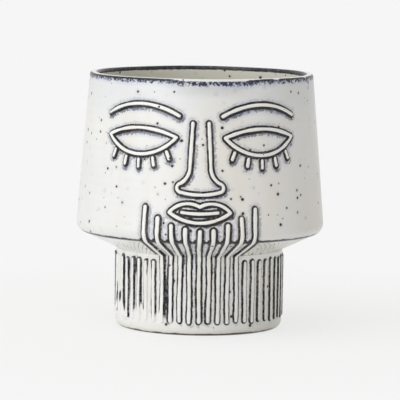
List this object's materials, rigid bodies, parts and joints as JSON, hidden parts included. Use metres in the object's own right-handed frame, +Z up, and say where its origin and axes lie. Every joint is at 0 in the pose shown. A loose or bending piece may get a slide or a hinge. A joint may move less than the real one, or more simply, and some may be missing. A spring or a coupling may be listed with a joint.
{
  "type": "head planter",
  "caption": "Stoneware plant pot shaped as a tapered head on a ribbed neck, with a calm face laid on in raised clay strands; open at the top to hold a plant.",
  "frame": {"origin": "middle of the base, on the plane that the foot ring stands on", "axes": "+Z up through the open rim, -Y towards the front of the face, +X to the viewer's right"},
  "size_m": [0.16, 0.161, 0.164],
  "materials": {
    "white_glaze": "speckled white reactive glaze, dark where it breaks over edges",
    "strand_glaze": "thicker white glaze over the raised strands"
  },
  "bodies": {
    "root": {"head_bowl": "white_glaze", "neck_foot": "white_glaze", "neck_ribs": "strand_glaze", "beard_strands": "strand_glaze", "nose": "strand_glaze", "lips": "strand_glaze", "mouth_line": "strand_glaze", "left_brow": "strand_glaze", "right_brow": "strand_glaze", "left_eyelid": "strand_glaze", "right_eyelid": "strand_glaze", "left_lashes": "strand_glaze", "right_lashes": "strand_glaze"}
  },
  "joints": []
}
